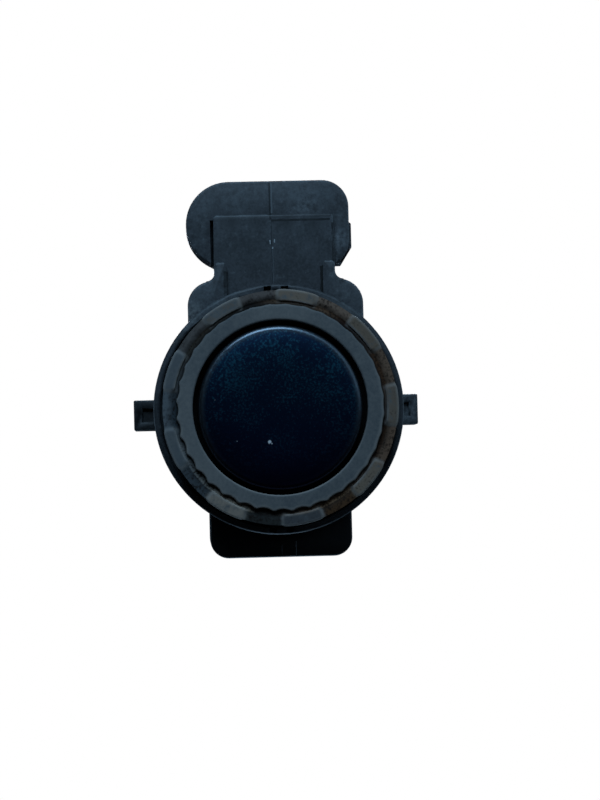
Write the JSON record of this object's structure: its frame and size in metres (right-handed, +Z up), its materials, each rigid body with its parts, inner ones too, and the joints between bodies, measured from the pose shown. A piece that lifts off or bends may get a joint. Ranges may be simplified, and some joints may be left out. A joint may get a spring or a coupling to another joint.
{
  "type": "parking sensor",
  "caption": "Ultrasonic parking sensor: round membrane in a fluted silicone ring with raised pads, barrel with side lugs, flat body and a keyed connector shroud.",
  "frame": {"origin": "on the sensor axis, in the plane of the barrel's rim", "axes": "-Y out of the membrane, away from the bumper; +Z up from the barrel to the connector; +X to the right, seen from the front"},
  "size_m": [0.0282, 0.0256, 0.0366],
  "materials": {
    "housing_plastic": "moulded black polymer, slightly blue, scuffed",
    "cover_plastic": "moulded black polymer",
    "silicone": "grey silicone, dusty in its groove",
    "painted_aluminium": "aluminium with dark blue metallic paint on its front",
    "piezo_ceramic": "silvered ceramic",
    "damping_foam": "soft silicone foam",
    "carrier_plastic": "moulded polymer",
    "tinned_brass": "tin plated",
    "enamelled_copper": "enamelled wire",
    "board_laminate": "green solder mask",
    "ferrite": "dark sintered ferrite",
    "chip_epoxy": "moulded epoxy",
    "capacitor_ceramic": "fired ceramic"
  },
  "bodies": {
    "root": {"housing": "housing_plastic", "rear_cover": "cover_plastic", "decoupling_ring": "silicone", "membrane_cup": "painted_aluminium", "piezo_disc": "piezo_ceramic", "damping_plug": "damping_foam", "contact_carrier": "carrier_plastic", "carrier_pin_left": "tinned_brass", "carrier_pin_right": "tinned_brass", "piezo_lead": "enamelled_copper", "ground_lead": "enamelled_copper", "circuit_board": "board_laminate", "transformer_base": "carrier_plastic", "transformer_core": "ferrite", "transformer_winding": "enamelled_copper", "driver_chip": "chip_epoxy", "bulk_capacitor": "capacitor_ceramic", "chip_capacitors": "capacitor_ceramic", "chip_resistors": "chip_epoxy", "protection_diode": "chip_epoxy", "terminal_supply": "tinned_brass", "terminal_signal": "tinned_brass", "terminal_ground": "tinned_brass"}
  },
  "joints": []
}
